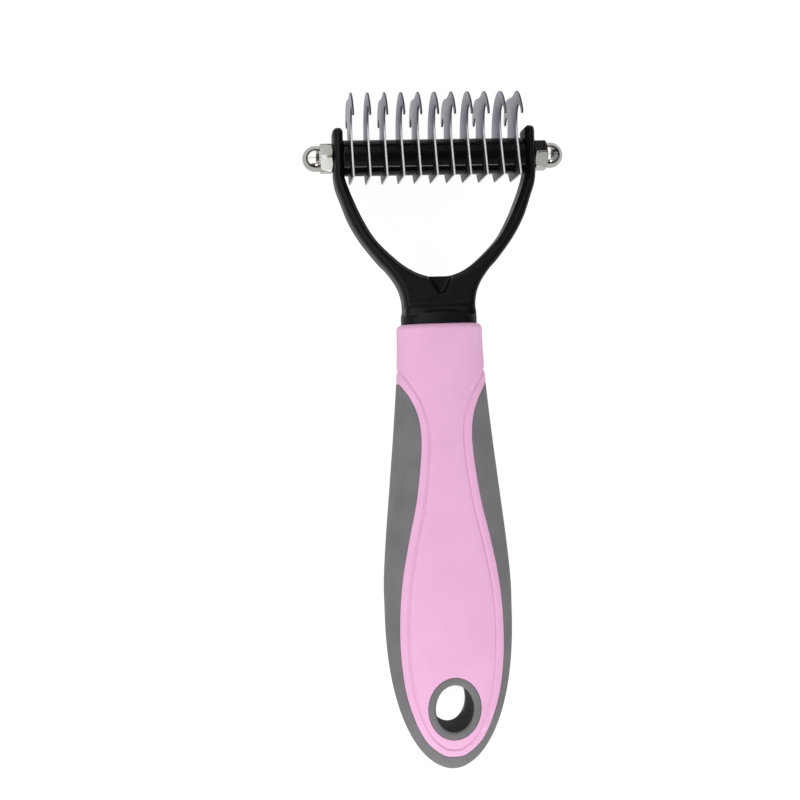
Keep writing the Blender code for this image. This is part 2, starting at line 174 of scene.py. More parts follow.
def smooth_line(points, steps):
    """Return points on a Catmull-Rom curve through the given points."""
    ends = [points[0], *points, points[-1]]
    line = []
    for p0, p1, p2, p3 in zip(ends, ends[1:], ends[2:], ends[3:]):
        for i in range(steps):
            t = i / steps
            line.append(tuple(
                0.5 * (2 * b + (c - a) * t + (2 * a - 5 * b + 4 * c - d) * t * t
                       + (3 * b - a - 3 * c + d) * t ** 3)
                for a, b, c, d in zip(p0, p1, p2, p3)))
    return line + [points[-1]]


def even_line(points, step):
    """Return the same polyline with its points about one step apart."""
    line = np.array(points, float)
    lengths = np.hypot(*np.diff(line, axis=0).T)
    along = np.concatenate([[0.0], np.cumsum(lengths)])
    places = np.linspace(0.0, along[-1], max(int(round(along[-1] / step)), 2) + 1)
    return list(zip(np.interp(places, along, line[:, 0]), np.interp(places, along, line[:, 1])))


def circle(radius, count):
    """Return the points of a circle."""
    turns = [2 * math.pi * i / count for i in range(count)]
    return [(radius * math.cos(t), radius * math.sin(t)) for t in turns]


def grid_faces(rows, columns, start=0, closed_rows=False, closed_columns=False):
    """Return the quads of a grid of points that are numbered row by row."""
    faces = []
    for i in range(rows if closed_rows else rows - 1):
        for j in range(columns if closed_columns else columns - 1):
            following = (i + 1) % rows * columns + start
            here = i * columns + start
            beside = (j + 1) % columns
            faces.append((here + j, here + beside, following + beside, following + j))
    return faces


def object_from_bmesh(name, bm, angle=None):
    """Turn a bmesh in millimetres into an object in metres, at the axle's centre."""
    bmesh.ops.scale(bm, vec=(MM, MM, MM), verts=bm.verts)
    bmesh.ops.remove_doubles(bm, verts=bm.verts, dist=2e-7)
    bmesh.ops.dissolve_degenerate(bm, dist=1e-7, edges=bm.edges)
    bmesh.ops.recalc_face_normals(bm, faces=bm.faces)
    mesh = bpy.data.meshes.new(name)
    bm.to_mesh(mesh)
    bm.free()
    obj = bpy.data.objects.new(name, mesh)
    bpy.context.scene.collection.objects.link(obj)
    obj.location = AXLE
    if angle is not None:
        mesh.shade_smooth()
        mesh.set_sharp_from_angle(angle=math.radians(angle))
    return obj


def object_from_points(name, points, faces, angle):
    """Make an object from points in millimetres and their faces."""
    bm = bmesh.new()
    verts = [bm.verts.new(point) for point in points]
    for face in faces:
        bm.faces.new([verts[i] for i in face])
    return object_from_bmesh(name, bm, angle)


def lofted(name, rings):
    """Skin closed rings of equal length, and fill both ends."""
    bm = bmesh.new()
    rows = [[bm.verts.new(point) for point in ring] for ring in rings]
    verts = [vert for row in rows for vert in row]
    for face in grid_faces(len(rows), len(rows[0]), closed_columns=True):
        bm.faces.new([verts[i] for i in face])
    for row in (rows[0], rows[-1]):
        rim = [bm.edges.get(pair) for pair in zip(row, row[1:] + row[:1])]
        bmesh.ops.triangle_fill(bm, use_beauty=True, edges=rim)
    return object_from_bmesh(name, bm)


def evaluated_mesh(obj):
    """Return a new mesh of an object as its modifiers, or its curve, make it."""
    bpy.context.view_layer.update()
    depsgraph = bpy.context.evaluated_depsgraph_get()
    return bpy.data.meshes.new_from_object(obj.evaluated_get(depsgraph))


def apply_modifiers(obj):
    """Replace an object's mesh with what its modifiers make of it."""
    mesh = evaluated_mesh(obj)
    obj.modifiers.clear()
    obj.data = mesh


def cut(target, tools):
    """Cut tools from the target, and remove them."""
    for tool in tools:
        step = target.modifiers.new("cut", "BOOLEAN")
        step.operation = "DIFFERENCE"
        step.solver = "EXACT"
        step.object = tool
    apply_modifiers(target)
    remove(tools)


def remove(objects):
    """Remove objects that were only helpers."""
    for obj in objects:
        bpy.data.objects.remove(obj, do_unlink=True)


def join(target, others):
    """Add other objects' meshes to the target's, as shells that may overlap."""
    bm = bmesh.new()
    for obj in (target, *others):
        bm.from_mesh(obj.data)
    bm.to_mesh(target.data)
    bm.free()
    remove(others)


def soften(obj, voxel, rounds):
    """Remesh an object evenly and smooth it, which rounds every edge a little."""
    remesh = obj.modifiers.new("remesh", "REMESH")
    remesh.mode = "VOXEL"
    remesh.voxel_size = voxel * MM
    smooth = obj.modifiers.new("smooth", "SMOOTH")
    smooth.factor = 0.5
    smooth.iterations = rounds
    apply_modifiers(obj)
    obj.data.shade_smooth()


def finish(obj, materials, body, node):
    """Give a piece its materials, its body and the CAD node that it replaces."""
    obj.data.materials.clear()
    for mat in materials:
        obj.data.materials.append(mat)
    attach(obj, body)
    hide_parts(node)


# ---------------------------------------------------------------- materials

def new_material(name):
    """Return a material, its node tree and its Principled shader."""
    mat = bpy.data.materials.new(name)
    mat.use_nodes = True
    return mat, mat.node_tree, mat.node_tree.nodes["Principled BSDF"]


def object_coords(tree, scale=(1.0, 1.0, 1.0)):
    """Return object coordinates in millimetres, stretched by a scale."""
    coords = tree.nodes.new("ShaderNodeTexCoord")
    mapping = tree.nodes.new("ShaderNodeMapping")
    mapping.inputs["Scale"].default_value = [s / MM for s in scale]
    tree.links.new(coords.outputs["Object"], mapping.inputs["Vector"])
    return mapping.outputs["Vector"]


def noise(tree, vector, scale, detail=3.0, roughness=0.5):
    """Return the output of a noise texture."""
    node = tree.nodes.new("ShaderNodeTexNoise")
    node.inputs["Scale"].default_value = scale
    node.inputs["Detail"].default_value = detail
    node.inputs["Roughness"].default_value = roughness
    tree.links.new(vector, node.inputs["Vector"])
    return node.outputs["Fac"]


def remap(tree, value, low, high, start=0.3, end=0.7):
    """Map a value from start..end onto low..high, and hold it there."""
    node = tree.nodes.new("ShaderNodeMapRange")
    node.inputs["From Min"].default_value = start
    node.inputs["From Max"].default_value = end
    node.inputs["To Min"].default_value = low
    node.inputs["To Max"].default_value = high
    tree.links.new(value, node.inputs["Value"])
    return node.outputs["Result"]


def mix_colours(tree, factor, first, second):
    """Return a mix of two colours, each a tuple or another node's output."""
    node = tree.nodes.new("ShaderNodeMix")
    node.data_type = "RGBA"
    tree.links.new(factor, node.inputs["Factor"])
    for socket, colour in ((node.inputs["A"], first), (node.inputs["B"], second)):
        if isinstance(colour, tuple):
            socket.default_value = (*colour, 1.0)
        else:
            tree.links.new(colour, socket)
    return node.outputs["Result"]


def bump(tree, height, distance, strength=1.0, before=None):
    """Return a bumped normal; distance is in millimetres."""
    node = tree.nodes.new("ShaderNodeBump")
    node.inputs["Distance"].default_value = distance * MM
    node.inputs["Strength"].default_value = strength
    tree.links.new(height, node.inputs["Height"])
    if before is not None:
        tree.links.new(before, node.inputs["Normal"])
    return node.outputs["Normal"]


def moulded(name, dark, light, rough, grain, specular=0.5, worn=None, sink=0.5):
    """Return a moulded plastic or rubber: mottled colour, uneven gloss and a fine grain.

    rough is the lowest and highest roughness, and grain the size and depth of the
    mould's texture in millimetres. worn is the colour of its rubbed convex edges, and
    sink the strength of the shallow waves that shrinkage leaves.
    """
    mat, tree, shader = new_material(name)
    coords = object_coords(tree)
    cloud = noise(tree, coords, 0.12)
    colour = mix_colours(tree, remap(tree, cloud, 0.0, 1.0), dark, light)
    if worn is not None:
        geometry = tree.nodes.new("ShaderNodeNewGeometry")
        edge = remap(tree, geometry.outputs["Pointiness"], 0.0, 0.6, 0.52, 0.62)
        colour = mix_colours(tree, edge, colour, worn)
    tree.links.new(colour, shader.inputs["Base Color"])
    speckle = noise(tree, coords, 1.0 / grain[0], 2.0)
    gloss = remap(tree, noise(tree, coords, 0.35), *rough)
    tree.links.new(gloss, shader.inputs["Roughness"])
    shader.inputs["Specular IOR Level"].default_value = specular
    waves = bump(tree, noise(tree, coords, 0.3, 1.0), 0.05, sink)
    tree.links.new(bump(tree, speckle, grain[1], 0.6, waves), shader.inputs["Normal"])
    return mat


def metal(name, dark, light, rough, stretch, depth, metallic=1.0, painted_shade=None):
    """Return a metal with fine marks drawn out along one direction.

    rough is its lowest and highest roughness, stretch the scale of the marks along X,
    Y and Z, and depth how deep they are in millimetres. The last argument paints shade
    into the colour: the Y where the metal has its own colour, the Y where the painted
    shade is full, and the colour of that painted shade.
    """
    mat, tree, shader = new_material(name)
    marks = noise(tree, object_coords(tree, stretch), 3.0, 5.0, 0.65)
    cloud = noise(tree, object_coords(tree), 0.25, 4.0)
    tint = mix_colours(tree, remap(tree, cloud, 0.0, 1.0), dark, light)
    # painted shade: the colour darkens along Y towards a darker colour
    if painted_shade is not None:
        unshaded_y, fully_shaded_y, shade_colour = painted_shade
        split = tree.nodes.new("ShaderNodeSeparateXYZ")
        tree.links.new(object_coords(tree), split.inputs["Vector"])
        shade_amount = remap(tree, split.outputs["Y"], 0.0, 1.0, unshaded_y, fully_shaded_y)
        tint = mix_colours(tree, shade_amount, tint, shade_colour)
    shade = remap(tree, marks, 0.86, 1.0)
    streaked = tree.nodes.new("ShaderNodeVectorMath")
    streaked.operation = "SCALE"
    tree.links.new(tint, streaked.inputs[0])
    tree.links.new(shade, streaked.inputs["Scale"])
    tree.links.new(streaked.outputs["Vector"], shader.inputs["Base Color"])
    shader.inputs["Metallic"].default_value = metallic
    tree.links.new(remap(tree, marks, *rough), shader.inputs["Roughness"])
    tree.links.new(bump(tree, marks, depth), shader.inputs["Normal"])
    return mat


def make_materials():
    """Return the object's materials by name."""
    return {
        "pink": moulded("pink_plastic", (0.760, 0.418, 0.638), (0.800, 0.445, 0.665),
                        (0.50, 0.60), (0.16, 0.010), 0.35, (0.88, 0.56, 0.77)),
        "gray": moulded("gray_rubber", (0.150, 0.147, 0.156), (0.185, 0.179, 0.188),
                        (0.66, 0.78), (0.22, 0.018), 0.30, (0.22, 0.215, 0.22)),
        # the hole's wall is a darker gray than the grip: painted shade inside the hang hole
        "bore": moulded("bore_painted_shade", (0.026, 0.026, 0.027), (0.038, 0.037, 0.038),
                        (0.66, 0.78), (0.22, 0.018), 0.20),
        "black": moulded("black_plastic", (0.0022, 0.0026, 0.0030), (0.0035, 0.004, 0.0045),
                         (0.32, 0.42), (0.20, 0.008), 0.18, (0.009, 0.010, 0.011)),
        "spacer": moulded("black_spacer", (0.0020, 0.0020, 0.0024), (0.003, 0.003, 0.0034),
                          (0.10, 0.13), (0.25, 0.002), 0.20, sink=0.03),
        # the blade steel darkens from Y 5 down to Y -4: painted shade on the blades' tails below
        # the sleeves
        "steel": metal("blade_steel", (0.43, 0.43, 0.49), (0.55, 0.55, 0.61),
                       (0.36, 0.50), (1.0, 0.35, 2.2), 0.006, 0.8,
                       (5.0, -4.0, (0.12, 0.12, 0.125))),
        # the edges darken from Y 5.5 up to Y 8.5: painted shade on the hooks' narrow edges
        "edge": metal("blade_edge", (0.80, 0.80, 0.81), (0.90, 0.90, 0.90),
                      (0.36, 0.48), (1.0, 1.5, 1.5), 0.004, 0.5,
                      (5.5, 8.5, (0.075, 0.075, 0.08))),
        "chrome": metal("nut_chrome", (0.70, 0.68, 0.65), (0.78, 0.76, 0.73),
                        (0.09, 0.17), (0.6, 1.0, 1.0), 0.0015),
        "axle": metal("axle_steel", (0.45, 0.45, 0.46), (0.55, 0.55, 0.56),
                      (0.25, 0.35), (6.0, 0.4, 0.4), 0.004),
    }


# ---------------------------------------------------------------- handle

STATIONS = np.array(smooth_line(HANDLE_STATIONS, 40))
PANEL_CURVE = np.array(smooth_line(PANEL_EDGE, 12))
EDGE_STEPS = [0.0, 0.004, 0.015, 0.04, 0.09, 0.16, 0.26, 0.4, 0.6, 0.85, 1.1, 1.3]
GROOVE_STEPS = [1.4 + 0.1 * i for i in range(14)]
RIB_START = 3.0                    # from the panel's edge to where the ribs widen out
RIB_STEPS = 12
GRIP_EDGE_STEPS = (0.0, 0.04, 0.1, 0.18, 0.28, 0.4)
GRIP_STEPS = 16
LONGEST_REACH = 14.0               # more than the gray grip is wide anywhere
RIM_STEPS = 8
OUTLINE_STEPS = 46
PANEL_STEP = 0.5
OUTLINE_GAP = 0.02                 # from the outline to the first point of the panel's edge
MEETING_GAP = 0.15                 # along Y, between the same two
QUARTER = 40                       # steps round a quarter of the liner's seat
SEAT_STEP = 0.2
SEAT_REACH = 20.0                  # height above the hole where ribs start to bend to it
LINER_SIDES = 128
LIP_STEPS = 8


def handle_size(y):
    """Return the handle's half width, front height and rear depth at a Y."""
    half, front, rear = (np.interp(-y, -STATIONS[:, 0], STATIONS[:, k]) for k in (1, 2, 3))
    left = min(max((y - HANDLE_END) / HANDLE_END_ROUND, 0.0), 1.0)
    end = math.sqrt(1.0 - (1.0 - left) ** HANDLE_END_POWER)
    thin = end ** HANDLE_END_THINNING
    rim = min(max(RIM_ROUND - (HANDLE_TOP - y), 0.0), RIM_ROUND)
    inset = RIM_ROUND - math.sqrt(RIM_ROUND ** 2 - rim ** 2)
    return half * end - inset, front * thin - inset, rear * thin - inset


def settled(depth):
    """Flatten a depth behind the axle softly where the handle lies on the table."""
    soft = TABLE - TABLE_BLEND
    if depth < soft:
        return depth
    return soft + TABLE_BLEND - TABLE_BLEND * math.exp((soft - depth) / TABLE_BLEND)


def handle_point(x, y, side, sunk=0.0):
    """Return the handle's surface point at X and Y, in front (1) or behind (-1)."""
    half, front, rear = handle_size(y)
    fraction = min(abs(x) / half, 1.0) if half > 1e-6 else 1.0
    rise = (1.0 - fraction ** SECTION_POWER) ** (1 / SECTION_POWER)
    height = front if side > 0 else rear
    z = front * rise if side > 0 else -settled(rear * rise)
    if sunk:
        outward = Vector((x / max(half, 0.1) ** 2, 0.0, z / max(height, 0.1) ** 2)).normalized()
        return (x - sunk * outward.x, y, z - sunk * outward.z)
    return (x, y, z)


def edge_distance(x, y):
    """Return the distance from a point to the panel's edge curve."""
    point = np.array((abs(x), y))
    start = PANEL_CURVE[:-1]
    step = np.diff(PANEL_CURVE, axis=0)
    t = np.clip(((point - start) * step).sum(1) / (step ** 2).sum(1), 0.0, 1.0)
    return np.hypot(*(start + step * t[:, None] - point).T).min()


def panel_relief(x, y):
    """Return how far the pink surface lies below the handle's smooth form."""
    distance = edge_distance(x, y)
    groove = abs(distance - GROOVE_INSET) / GROOVE_HALF_WIDTH
    sunk = GROOVE_DEPTH * (1.0 - groove * groove) ** 2 if groove < 1.0 else 0.0
    return sunk + edge_relief(distance)


def edge_relief(distance):
    """Return how far a surface drops towards a rounded edge."""
    return EDGE_DROP * (1.0 - distance / EDGE_ROUND) ** 2 if distance < EDGE_ROUND else 0.0


def panel_boundary():
    """Return the right edge of the pink core from the top to the bottom's middle.

    It follows the handle's outline down to the soft grip, then the panel's edge. The
    second value is the number of points on the outline.
    """
    edge = even_line(PANEL_CURVE, PANEL_STEP)
    inside = [p for p in edge if p[0] < handle_size(p[1])[0] - OUTLINE_GAP]
    meeting = inside[0][1] + MEETING_GAP
    rim = [HANDLE_TOP - RIM_ROUND * (1 - math.cos(math.pi / 2 * i / RIM_STEPS))
           for i in range(RIM_STEPS)]
    down = np.linspace(HANDLE_TOP - RIM_ROUND, meeting, OUTLINE_STEPS)
    outline = [(handle_size(y)[0], y) for y in [*rim, *down]]
    return outline + inside, len(outline)


def inward_directions(boundary, outline_count):
    """Return a unit direction into the panel for each point of its boundary."""
    line = np.array(boundary)
    tangent = np.gradient(line[outline_count:], axis=0)
    tangent /= np.hypot(*tangent.T)[:, None]
    normals = np.stack([tangent[:, 1], -tangent[:, 0]], axis=1)
    normals[-1] = (0.0, 1.0)
    first = math.atan2(normals[0][1], -normals[0][0])
    directions = []
    for i in range(outline_count):
        t = i / outline_count
        turn = first * t * t * (3 - 2 * t)
        directions.append((-math.cos(turn), math.sin(turn)))
    return directions + [tuple(n) for n in normals]


def inner_points(reaches):
    """Return where each rib of the panel ends: on its middle line or on the liner's seat."""
    seat = (LINER_HALF[0] + SEAM, LINER_HALF[1] + SEAM)
    leave = HOLE_Y + SEAT_REACH
    ring = [(seat[0] * math.cos(t), HOLE_Y + seat[1] * math.sin(t))
            for t in np.linspace(math.pi / 2, -math.pi / 2, 2 * QUARTER + 1)]
    line = even_line([(0.0, leave), ring[0]], SEAT_STEP)
    upper = even_line(ring[:QUARTER + 1], SEAT_STEP)
    lower = even_line(ring[QUARTER:], SEAT_STEP)
    ys = [reach[1] for reach in reaches]
    first = next(i for i, y in enumerate(ys) if y < leave)
    level = next(i for i, y in enumerate(ys) if y < HOLE_Y)
    top = first + round((level - first) * len(line) / (len(line) + len(upper)))
    ends = [(0.0, y) for y in ys[:first]]
    for path, start, stop in ((line, first, top), (upper, top, level),
                              (lower, level, len(ys))):
        count = stop - start
        for i in range(count):
            t = i / (count - 1 if stop == len(ys) else count)
            ends.append(path[round(t * (len(path) - 1))])
    return ends


def mirrored(points, faces):
    """Return the points and faces with their mirror image across X added."""
    count = len(points)
    both = points + [(-x, y, z) for x, y, z in points]
    return both, faces + [tuple(count + i for i in reversed(face)) for face in faces]


def sheets(ribs, place):
    """Return the points and faces of a front and a rear sheet over the same ribs.

    The sheets are joined along the first point, and the first row, of the ribs.
    """
    rows, columns = len(ribs), len(ribs[0])
    points = [place(x, y, side) for side in (1, -1) for rib in ribs for x, y in rib]
    rear = rows * columns
    faces = grid_faces(rows, columns)
    faces += [tuple(reversed(face)) for face in grid_faces(rows, columns, start=rear)]
    for i in range(rows - 1):
        here, following = i * columns, (i + 1) * columns
        faces.append((here, following, rear + following, rear + here))
    for j in range(columns - 1):
        faces.append((j + 1, j, rear + j, rear + j + 1))
    return points, faces


def add_handle_core(mats):
    """Add the pink core, with the groove round its panel and the seat of the liner."""
    boundary, outline_count = panel_boundary()
    directions = inward_directions(boundary, outline_count)
    fine = [*EDGE_STEPS, *GROOVE_STEPS, RIB_START]
    reaches = [(x + u * RIB_START, y + v * RIB_START)
               for (x, y), (u, v) in zip(boundary, directions)]
    ribs = []
    for (x, y), (u, v), reach, inner in zip(boundary, directions, reaches,
                                            inner_points(reaches)):
        rib = [(x + u * d, min(y + v * d, HANDLE_TOP)) for d in fine]
        for k in range(1, RIB_STEPS + 1):
            t = k / RIB_STEPS
            rib.append((reach[0] + (inner[0] - reach[0]) * t,
                        min(reach[1] + (inner[1] - reach[1]) * t, HANDLE_TOP)))
        ribs.append(rib)
    points, faces = sheets(ribs, lambda x, y, side: handle_point(x, y, side,
                                                                 panel_relief(x, y)))
    columns = len(ribs[0])
    rear = len(ribs) * columns
    for i, (rib, following) in enumerate(zip(ribs, ribs[1:])):
        if following[-1][0] > 1e-6 or rib[-1][0] > 1e-6:
            a, b = i * columns + columns - 1, (i + 1) * columns + columns - 1
            faces.append((b, a, rear + a, rear + b))
    core = object_from_points("pink_core", *mirrored(points, faces), 50)
    finish(core, [mats["pink"]], "rake", "handle_core")


def outline_reach(x, y, u, v):
    """Return how far a point is from the handle's outline in a direction, by halving."""
    low, high = 0.0, LONGEST_REACH
    for _ in range(40):
        reach = (low + high) / 2
        if x + u * reach < handle_size(y + v * reach)[0] and y + v * reach > HANDLE_END:
            low = reach
        else:
            high = reach
    return low


def add_soft_grip(mats):
    """Add the gray overmould round both sides and the end of the handle."""
    boundary, outline_count = panel_boundary()
    directions = inward_directions(boundary, outline_count)
    ribs = []
    for (x, y), (u, v) in zip(boundary[outline_count:], directions[outline_count:]):
        reach = outline_reach(x, y, -u, -v)
        if reach < 2 * SEAM:
            continue
        short = min(reach, 1.0)
        first = [SEAM + short * d for d in GRIP_EDGE_STEPS]
        rest = reach - first[-1]
        steps = first + [reach - rest * (1 - k / GRIP_STEPS) ** 3
                         for k in range(1, GRIP_STEPS + 1)]
        ribs.append([(x - u * d, y - v * d) for d in steps])
    points, faces = sheets(ribs, lambda x, y, side: handle_point(
        x, y, side, edge_relief(edge_distance(x, y))))
    grip = object_from_points("gray_grip", *mirrored(points, faces), 50)
    finish(grip, [mats["gray"]], "rake", "soft_grip")


def liner_section(thick):
    """Return (distance in, drop) across the liner's face, from its seat to its lip."""
    across = [(0.0, 0.16), (0.08, 0.06), (0.2, 0.0), (0.5, 0.0), (0.8, 0.0), (1.05, 0.0)]
    for i in range(LIP_STEPS + 1):
        turn = math.pi / 2 * i / LIP_STEPS
        across.append((thick - LINER_LIP * (1 - math.sin(turn)),
                       LINER_LIP * (1 - math.cos(turn))))
    return across


def add_liner(mats):
    """Add the ring that lines the hang hole, with rounded lips at both faces; the hole's wall
    gets a darker gray, painted shade inside the hole.
    """
    thick = LINER_HALF[0] - HOLE_HALF[0]
    across = liner_section(thick)
    shares = (0.15, 0.35, 0.5, 0.65, 0.85)
    rows = []
    for k in range(LINER_SIDES):
        turn = 2 * math.pi * k / LINER_SIDES
        outer = Vector((LINER_HALF[0] * math.cos(turn), LINER_HALF[1] * math.sin(turn)))
        inner = Vector((HOLE_HALF[0] * math.cos(turn), HOLE_HALF[1] * math.sin(turn)))
        faces_of_ring = []
        for side in (1, -1):
            face = []
            for along, drop in across:
                flat = outer.lerp(inner, along / thick)
                x, y, z = handle_point(flat.x, flat.y + HOLE_Y, side)
                face.append((x, y, z - side * drop))
            faces_of_ring.append(face)
        front, rear = faces_of_ring
        bore = [Vector(front[-1]).lerp(Vector(rear[-1]), t) for t in shares]
        rows.append(front + bore + list(reversed(rear)))
    points = [p for row in rows for p in row]
    faces = grid_faces(LINER_SIDES, len(rows[0]), closed_rows=True, closed_columns=True)
    liner = object_from_points("hole_liner", points, faces, 60)
    finish(liner, [mats["gray"], mats["bore"]], "rake", "hang_hole_liner")
    # faces of the hole's wall take the darker gray: painted shade
    for face in liner.data.polygons:
        if abs(face.normal.z) < 0.35 and abs(face.center.z) < LINER_FACE_DEPTH * MM:
            face.material_index = 1


# ---------------------------------------------------------------- yoke

def yoke_outline():
    """Return the yoke's right half from the crotch round to the collar.

    Each point is X, Y and 1 on the inner edge, 0 on the outer one.
    """
    step = 0.6
    corner = [math.pi / 2 * i / 8 for i in range(9)]
    top = ARM_TOP - ARM_CORNER
    outer_corner = [(ARM_OUTER - ARM_CORNER + ARM_CORNER * math.cos(t),
                     top + ARM_CORNER * math.sin(t)) for t in reversed(corner)]
    inner_corner = [(ARM_INNER + ARM_CORNER - ARM_CORNER * math.cos(t),
                     top + ARM_CORNER * math.sin(t)) for t in corner]
    inner = list(reversed(smooth_line([(ARM_INNER, ARM_STRAIGHT_END), *YOKE_INNER], 8)))
    outer = smooth_line([(ARM_OUTER, ARM_STRAIGHT_END), *YOKE_OUTER], 8)
    inner_side = even_line([(ARM_INNER, ARM_STRAIGHT_END), inner_corner[0]], step)[1:-1]
    outer_side = even_line([outer_corner[-1], (ARM_OUTER, ARM_STRAIGHT_END)], step)[1:-1]
    inner = even_line(inner, step) + inner_side + inner_corner
    outer = outer_corner + outer_side + even_line(outer, step) + [(YOKE_OUTER[-1][0], NECK_END)]
    return [(*p, 1.0) for p in inner] + [(*p, 0.0) for p in outer]


def yoke_ring(outline, outer_inset, inner_inset, height):
    """Return the outline moved inwards by the insets of its edges, at one Z."""
    ring = []
    for i, (x, y, inner) in enumerate(outline):
        before = Vector(outline[i - 1][:2])
        after = Vector(outline[(i + 1) % len(outline)][:2])
        along = (after - before).normalized()
        inset = outer_inset + (inner_inset - outer_inset) * inner
        ring.append((x + along.y * inset, y - along.x * inset, height))
    return ring


def superellipse(y, half_width, half_depth, power):
    """Return an oval section across the tool at a Y, squarer at a lower power."""
    ring = []
    count = 64
    for i in range(count):
        turn = 2 * math.pi * (i + 0.5) / count
        x = math.copysign(abs(math.cos(turn)) ** power, math.cos(turn))
        z = math.copysign(abs(math.sin(turn)) ** power, math.sin(turn))
        ring.append((half_width * x, y, half_depth * z))
    return ring


def round_section(x, radius):
    """Return a circle round the axle's line at an X."""
    return [(x, y, z) for y, z in circle(radius, 48)]


def block(name, low, high):
    """Return a box between two corners, for joining to or cutting from another mesh."""
    (x0, y0, z0), (x1, y1, z1) = low, high
    return lofted(name, [[(x0, y0, z), (x1, y0, z), (x1, y1, z), (x0, y1, z)]
                         for z in (z0, z1)])


def edge_levels():
    """Return (outer inset, inner inset, Z) from the front face down its rounded edge."""
    levels = []
    for i in range(9):
        turn = math.pi / 2 * i / 8
        rise = OUTER_ROUND[1] * (1 - math.cos(turn))
        levels.append((OUTER_ROUND[0] * (1 - math.sin(turn)),
                       max(0.0, INNER_BEVEL[0] * (1 - rise / INNER_BEVEL[1])),
                       YOKE_HALF_DEPTH - rise))
    return levels


def recess_cutter():
    """Return the V-shaped cutter of the recess below the crotch, which flares out."""
    return lofted("recess", [[(-3.6 - s, -29.2, z), (3.6 + s, -29.2, z),
                              (0.9 + s, -34.4 - s, z), (0.1 - s, -34.4 - s, z)]
                             for s, z in ((0.0, RECESS_FLOOR), (RECESS_FLARE, RECESS_TOP))])


def neck_shells():
    """Return the neck, the collar and the tang, as shells that overlap."""
    collar = [(COLLAR_TOP + 0.25, COLLAR_HALF[0] - 0.7, COLLAR_HALF[1] - 0.7),
              (COLLAR_TOP - 0.3, COLLAR_HALF[0] - 0.15, COLLAR_HALF[1] - 0.15),
              (COLLAR_TOP - 0.8, *COLLAR_HALF), (COLLAR_BOTTOM, *COLLAR_HALF)]
    width, length, depth = TANG
    return [lofted("neck", [superellipse(*s, power=0.3) for s in smooth_line(NECK, 5)]),
            lofted("collar", [superellipse(*s, power=0.8) for s in collar]),
            block("tang", (-width / 2, COLLAR_BOTTOM - length, -depth / 2),
                  (width / 2, COLLAR_BOTTOM + 0.5, depth / 2))]


def add_yoke(mats):
    """Add the fork: rounded outer edges, a bevel inside the arms, the neck and collar."""
    half = yoke_outline()
    left = [(-x, y, inner) for x, y, inner in reversed(half[1:])]
    outline = half + left
    front = [yoke_ring(outline, *level) for level in edge_levels()]
    back = [[(x, y, -z) for x, y, z in ring] for ring in front]
    yoke = lofted("black_yoke", back + list(reversed(front)))
    bore = [round_section(x, BORE_RADIUS) for x in (-30.0, 30.0)]
    cut(yoke, [recess_cutter(), lofted("bore", bore)])
    join(yoke, neck_shells())
    soften(yoke, voxel=0.2, rounds=4)
    finish(yoke, [mats["black"]], "rake", "yoke")


# ---------------------------------------------------------------- blades and axle

def flatted_hole():
    """Return the outline of the double-D hole that keys a blade to the axle."""
    limit = AXLE_FLATS / 2 + BORE_RADIUS - AXLE_RADIUS
    return [(max(-limit, min(limit, x)), y) for x, y in circle(BORE_RADIUS, 40)]


def blade_outline(double):
    """Return a blade's outline in (Z, Y), starting below its stem."""
    top = DOUBLE_TOP if double else SINGLE_TOP
    edge = smooth_line([*BLADE_REAR_STEM, *top, *BLADE_FRONT_HOOK], 6)
    return [*BLADE_REAR_CORNERS, *edge, BLADE_FRONT_CORNER]


def stamped_plate(name, loops, thickness):
    """Return the mesh of a plate with rounded edges, from its outline and its holes."""
    curve = bpy.data.curves.new(name, "CURVE")
    curve.dimensions = "2D"
    curve.fill_mode = "BOTH"
    curve.extrude = (thickness / 2 - BLADE_EDGE) * MM
    curve.bevel_depth = BLADE_EDGE * MM
    curve.bevel_resolution = 2
    curve.offset = -BLADE_EDGE * MM
    for loop in loops:
        spline = curve.splines.new("POLY")
        spline.points.add(len(loop) - 1)
        spline.use_cyclic_u = True
        for point, (x, y) in zip(spline.points, loop):
            point.co = (x * MM, y * MM, 0.0, 1.0)
    guide = bpy.data.objects.new(name + "_outline", curve)
    bpy.context.scene.collection.objects.link(guide)
    mesh = evaluated_mesh(guide)
    remove([guide])
    return mesh


def add_blade(name, double, mats):
    """Add one stamped blade, whose narrow edges have their own material."""
    low, high = span(name, 0)
    bm = bmesh.new()
    bm.from_mesh(stamped_plate(name, (blade_outline(double), flatted_hole()), high - low))
    bmesh.ops.rotate(bm, verts=bm.verts, matrix=Matrix.Rotation(-math.pi / 2, 3, "Y"))
    bmesh.ops.scale(bm, vec=(1 / MM, 1 / MM, 1 / MM), verts=bm.verts)
    bmesh.ops.translate(bm, vec=((low + high) / 2, 0.0, 0.0), verts=bm.verts)
    blade = object_from_bmesh("hooked_" + name, bm, 30)
    finish(blade, [mats["steel"], mats["edge"]], "rake", name)
    for face in blade.data.polygons:
        face.material_index = 1 if abs(face.normal.x) < BLADE_FACE_LEAN else 0


def add_sleeve(node, mats):
    """Add one black sleeve with chamfered rims."""
    low, high = span(node, 0)
    radius = span(node, 1)[1]
    chamfer = SLEEVE_CHAMFER
    profile = [(low, BORE_RADIUS), (low, radius - chamfer), (low + chamfer * 0.3, radius - 0.04),
               (low + chamfer, radius), (high - chamfer, radius),
               (high - chamfer * 0.3, radius - 0.04), (high, radius - chamfer),
               (high, BORE_RADIUS)]
    count = 64
    points = []
    for k in range(count):
        turn = 2 * math.pi * k / count
        points += [(x, r * math.cos(turn), r * math.sin(turn)) for x, r in profile]
    faces = grid_faces(count, len(profile), closed_rows=True, closed_columns=True)
    sleeve = object_from_points("turned_" + node, points, faces, 15)
    finish(sleeve, [mats["spacer"]], "rake", node)


def hex_radius(turn, offset):
    """Return a hexagon's radius in a direction, with slightly broken corners."""
    sector = (turn - offset) % (math.pi / 3) - math.pi / 6
    flat = NUT_ACROSS_FLATS / 2 / math.cos(sector)
    return min(flat, NUT_CORNER - NUT_CORNER_WEAR)


